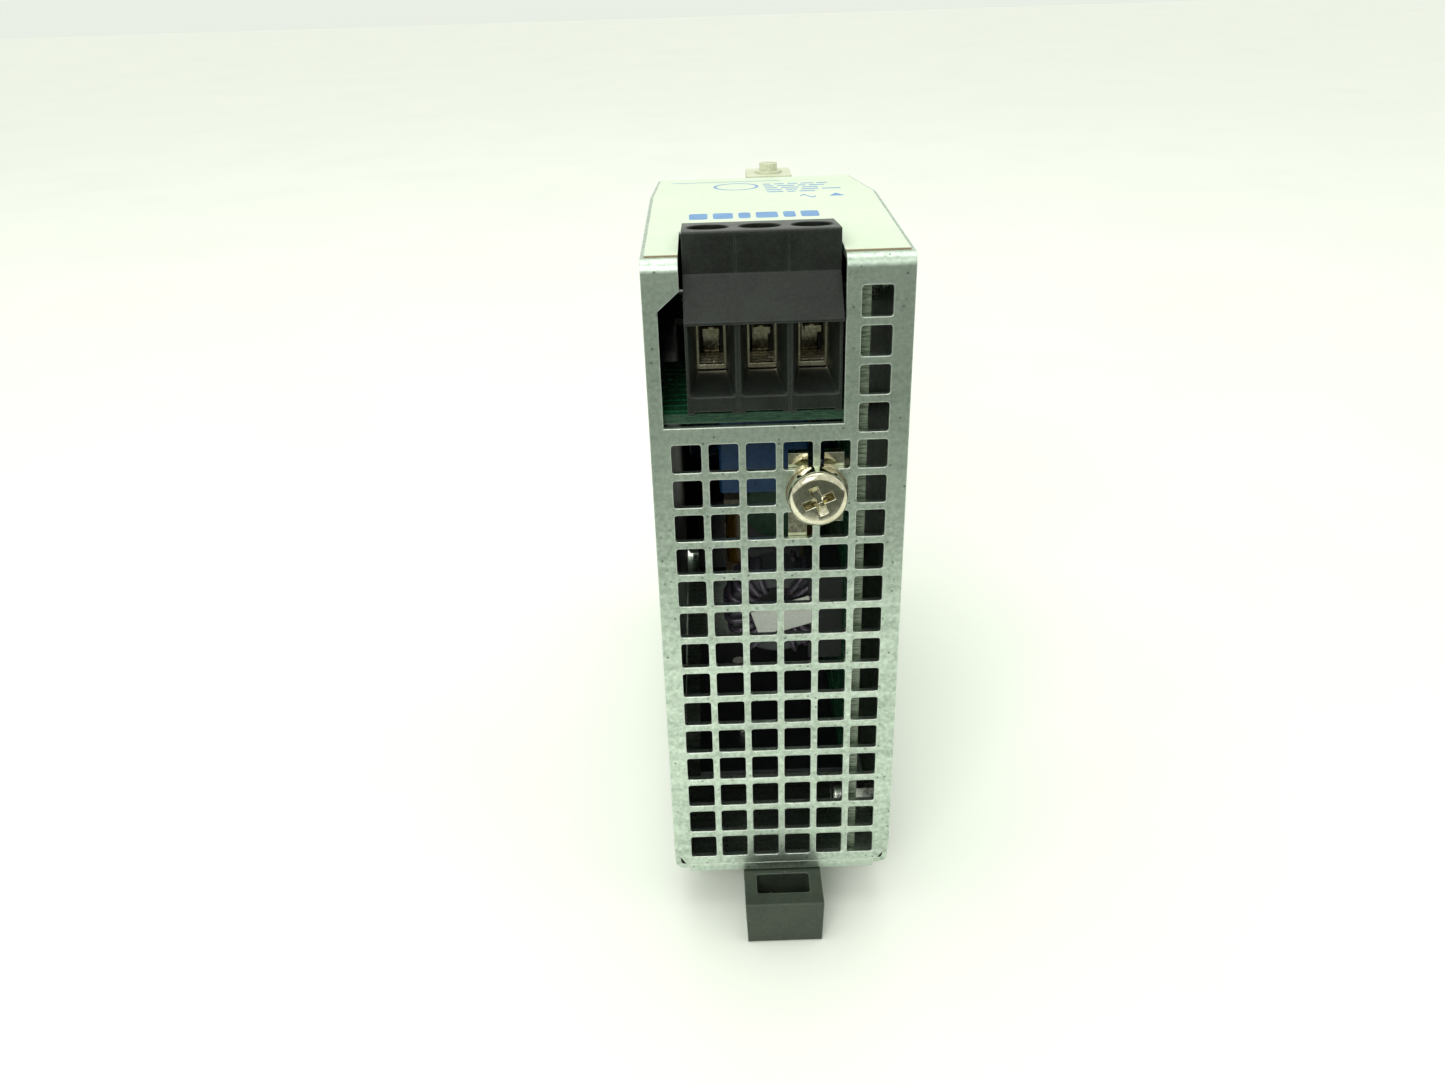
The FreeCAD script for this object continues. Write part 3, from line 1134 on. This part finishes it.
def make_output_choke_winding():
    """Turns of thick enamelled wire around the ring, as closed turns, with two legs."""
    turns = []
    for index in range(OUT_CHOKE_TURNS):
        turn = ring_turn(TOROID_D, TOROID_BORE, TOROID_T, OUT_CHOKE_WIRE)
        turn.rotate(V(0, 0, 0), V(0, 0, 1), 90)
        turn.rotate(V(0, 0, 0), V(1, 0, 0), 30 + index * 300 / (OUT_CHOKE_TURNS - 1))
        turn.translate(V(out(TOROID_LIFT + TOROID_T / 2), OUT_CHOKE_Y, OUT_CHOKE_Z))
        turns.append(turn)
    legs = [lead(OUT_CHOKE_Y + side * 6.0, OUT_CHOKE_Z + 9.6, 3.0, OUT_CHOKE_WIRE) for side in (-1, 1)]
    return fuse(turns + legs)


OUT_CAP_D, OUT_CAP_L = 0.08 * CASE_L, 20.0


def make_output_capacitors():
    """Row of three electrolytic capacitors under the output board."""
    z = below(OUT_BOARD_TOP + BOARD_T + 7.5)
    pieces = []
    for index in range(3):
        y = HALF_L - 1.2 * OUT_CAP_D - index * (OUT_CAP_D + 1.5)
        legs = [lead(y + side * 2.5, z, PIN_ROOT) for side in (-1, 1)]
        pieces.append(fuse([can(y, z, OUT_CAP_D, OUT_CAP_L)] + legs))
    return Part.makeCompound(pieces)


def make_y_capacitors():
    """Two blue safety capacitors beside the transformer."""
    z = CORE_Z + CORE_H + 9.0
    ys = (CORE_Y + 0.024 * CASE_L, CORE_Y + 0.088 * CASE_L)
    return Part.makeCompound([disc(y, z, 6.5, 4.5, 3.6) for y in ys])


CHIP_SHIFT = 0.112 * CASE_L  # chips from the transformer's middle, towards the output end
CHIP_W = 6.4
CHIP_LIFT, CHIP_TOP = 0.7, 4.0


def make_control_chips():
    """Switching controller and feedback optocoupler, in plain black bodies."""
    pieces = []
    y = CORE_Y + CHIP_SHIFT
    for z, length, pins in ((FLOOR_Z + 84.0, 9.6, 4), (FLOOR_Z + 76.0, 4.8, 2)):
        body = box(out(CHIP_TOP), out(CHIP_LIFT), y - CHIP_W / 2, y + CHIP_W / 2, z, z + length)
        legs = []
        for index in range(pins):
            pz = z + (index + 0.5) * length / pins
            for side in (-1, 1):
                legs.append(blade(y + side * (CHIP_W / 2 + 0.4), pz, 2.0, 0.9, 0.5))
        pieces.append(fuse([body] + legs))
    return Part.makeCompound(pieces)


def make_insulating_sheet():
    """Sheet that shields the left wall, clear of the cover's tabs, folded in at the output end."""
    top = TAB_H + 0.6
    end = INNER_END - 0.6
    low = FLOOR_Z + 3
    path = [(-end, low), (-end, FRONT_Z - top), (BEND_Y1, FRONT_Z - top),
            (BEND_Y2, FRONT_Z - SLIGHT_DROP - top), (BEND_Y3 - STEEP_L / 2, LEDGE_Z - top),
            (end, LEDGE_Z - top), (end, low)]
    sheet = prism_x(path, FOIL_X - FOIL_T, FOIL_X)
    top_z = below(OUT_BOARD_TOP + BOARD_T + 1)
    fold = box(FOIL_X - FOIL_T, FOIL_X + FOIL_FOLD, end - FOIL_T, end, low, top_z)
    return fuse([sheet, fold])


# ---------------------------------------------------------------- indicator and adjuster
TRIMMER_PIN = 0.6
TRIMMER_LEG = 6.0
TRIMMER_TOP_Z = FRONT_Z - SLIGHT_DROP + 0.1
TRIMMER_BODY_H = TRIMMER_TOP_Z - panel_z(TRIMMER_Y + TRIMMER_W / 2) + 2.5 * SHEET
ROTOR_D = 5.6
ROTOR_RISE = 1.9
ROTOR_SINK = 2.0
SPINDLE_D = 3.8
ROTOR_SLOT_W, ROTOR_SLOT_DEPTH = 0.8, 1.2
LED_H = 5.2
LED_RISE = 1.6           # top of the light above the panel
LED_LEG_W = 0.5
LED_LEG_L = 14.0


def make_trimmer_body():
    """Square body of the output voltage adjuster, soldered to the main board by three side pins."""
    half = TRIMMER_W / 2
    body = rounded_box(TRIMMER_X - half, TRIMMER_X + half, TRIMMER_Y - half, TRIMMER_Y + half,
                       TRIMMER_TOP_Z - TRIMMER_BODY_H, TRIMMER_TOP_Z, 0.5)
    well = rod(TRIMMER_X, TRIMMER_Y, TRIMMER_TOP_Z - ROTOR_SINK, ROTOR_D / 2 + RUN_FIT, ROTOR_SINK + 1)
    pins = []
    z = TRIMMER_TOP_Z - TRIMMER_BODY_H + TRIMMER_PIN
    edge = TRIMMER_X + half
    for shift in (-LINK_PITCH, 0, LINK_PITCH):
        y = TRIMMER_Y + shift
        down = box(edge - 1, edge + 1.6, y - TRIMMER_PIN / 2, y + TRIMMER_PIN / 2, z - TRIMMER_LEG, z)
        across = blade(y, z - TRIMMER_LEG + TRIMMER_PIN / 2, BOARD_FACE_X - edge - 1,
                       TRIMMER_PIN, TRIMMER_PIN)
        pins += [down, across]
    return fuse([body] + pins).cut(well)


def make_trimmer_rotor():
    """Slotted rotor of the adjuster."""
    wheel = rod(TRIMMER_X, TRIMMER_Y, TRIMMER_TOP_Z - ROTOR_SINK + 0.02, ROTOR_D / 2, ROTOR_SINK + 0.4)
    spindle = rod(TRIMMER_X, TRIMMER_Y, TRIMMER_TOP_Z, SPINDLE_D / 2, ROTOR_RISE)
    slot = screw_slot(TRIMMER_X, TRIMMER_Y, TRIMMER_TOP_Z + ROTOR_RISE, ROTOR_SLOT_W, SPINDLE_D + 1,
                      ROTOR_SLOT_DEPTH)
    return fuse([wheel, spindle]).cut(slot)


def make_status_led():
    """Round indicator on two long legs, bent across to the main board."""
    top = panel_z(LED_Y) + LED_RISE
    base = top - LED_H
    body = rod(LED_X, LED_Y, base, LED_D / 2, LED_H - LED_D / 2)
    dome = Part.makeSphere(LED_D / 2, V(LED_X, LED_Y, top - LED_D / 2))
    flange = rod(LED_X, LED_Y, base, LED_D / 2 + 0.4, 0.9)
    legs = []
    half = LED_LEG_W / 2
    for y in (LED_Y - LINK_PITCH / 2, LED_Y + LINK_PITCH / 2):
        legs.append(box(LED_X - half, LED_X + half, y - half, y + half, base - LED_LEG_L, base + 0.5))
        legs.append(blade(y, base - LED_LEG_L + half, BOARD_FACE_X - LED_X + half, LED_LEG_W, LED_LEG_W))
    return fuse([body, dome, flange] + legs)


# ---------------------------------------------------------------- build
def build():
    save("front_cover", make_front_cover())
    save("chassis", make_chassis())
    save("front_label", make_front_label())
    save("cover_screws", make_cover_screws())
    save("rail_bracket", make_rail_bracket())
    save("bracket_screws", make_bracket_screws())
    save("latch_slider", make_latch_slider())
    save("latch_spring", make_latch_spring())
    block = make_terminal_block()
    contacts = make_contacts()
    save("input_terminal_block", block)
    save("output_terminal_block", at_output_end(block))
    save("input_contacts", contacts)
    save("output_contacts", at_output_end(contacts))
    for number, x in enumerate(pole_xs(), 1):
        screw = make_clamp_screw(x)
        cage = make_clamp_cage(x)
        save("input_screw_%d" % number, screw)
        save("input_cage_%d" % number, cage)
        save("output_screw_%d" % number, at_output_end(screw))
        save("output_cage_%d" % number, at_output_end(cage))
    save("earth_screw", make_earth_screw())
    save("earth_washer", make_earth_washer())
    save("earth_nut_plate", make_earth_nut_plate())
    near = BOARD_FACE_X - JOIN_GAP
    far = FOIL_X + JOIN_GAP
    board = make_terminal_board(far, near)
    lead_holes = [rod(x, y, below(UNDER_BOARD) - 1, X2_LEAD_D / 2 + LEAD_FIT, BOARD_T + 2)
                  for x, y in x2_leads()]
    save("input_board", board.cut(lead_holes))
    save("output_board", at_output_end(board))
    save("x2_capacitor", make_x2_capacitor())
    save("board_links", make_board_links())
    save("board_standoffs", make_standoffs())
    save("board_screws", make_board_screws())
    save("insulating_sheet", make_insulating_sheet())
    save("fuse", make_fuse())
    save("fuse_clips", make_fuse_clips())
    save("varistor", make_varistor())
    save("thermistor", make_thermistor())
    save("choke_core", make_choke_core())
    save("choke_base", make_choke_base())
    save("choke_windings", make_choke_windings())
    save("choke_label", make_choke_label())
    save("bulk_capacitor", make_bulk_capacitor())
    save("primary_heat_sink", make_primary_sink())
    save("primary_devices", make_primary_devices())
    save("secondary_heat_sink", make_secondary_sink())
    save("secondary_devices", make_secondary_devices())
    save("device_screws", make_device_screws())
    save("transformer_core", make_transformer_core())
    save("transformer_bobbin", make_transformer_bobbin())
    save("transformer_winding", make_transformer_winding())
    save("output_choke_core", make_output_choke_core())
    save("output_choke_winding", make_output_choke_winding())
    save("output_capacitors", make_output_capacitors())
    save("y_capacitors", make_y_capacitors())
    save("control_chips", make_control_chips())
    save("trimmer_body", make_trimmer_body())
    save("trimmer_rotor", make_trimmer_rotor())
    save("status_led", make_status_led())
    save("main_board", make_main_board())


build()
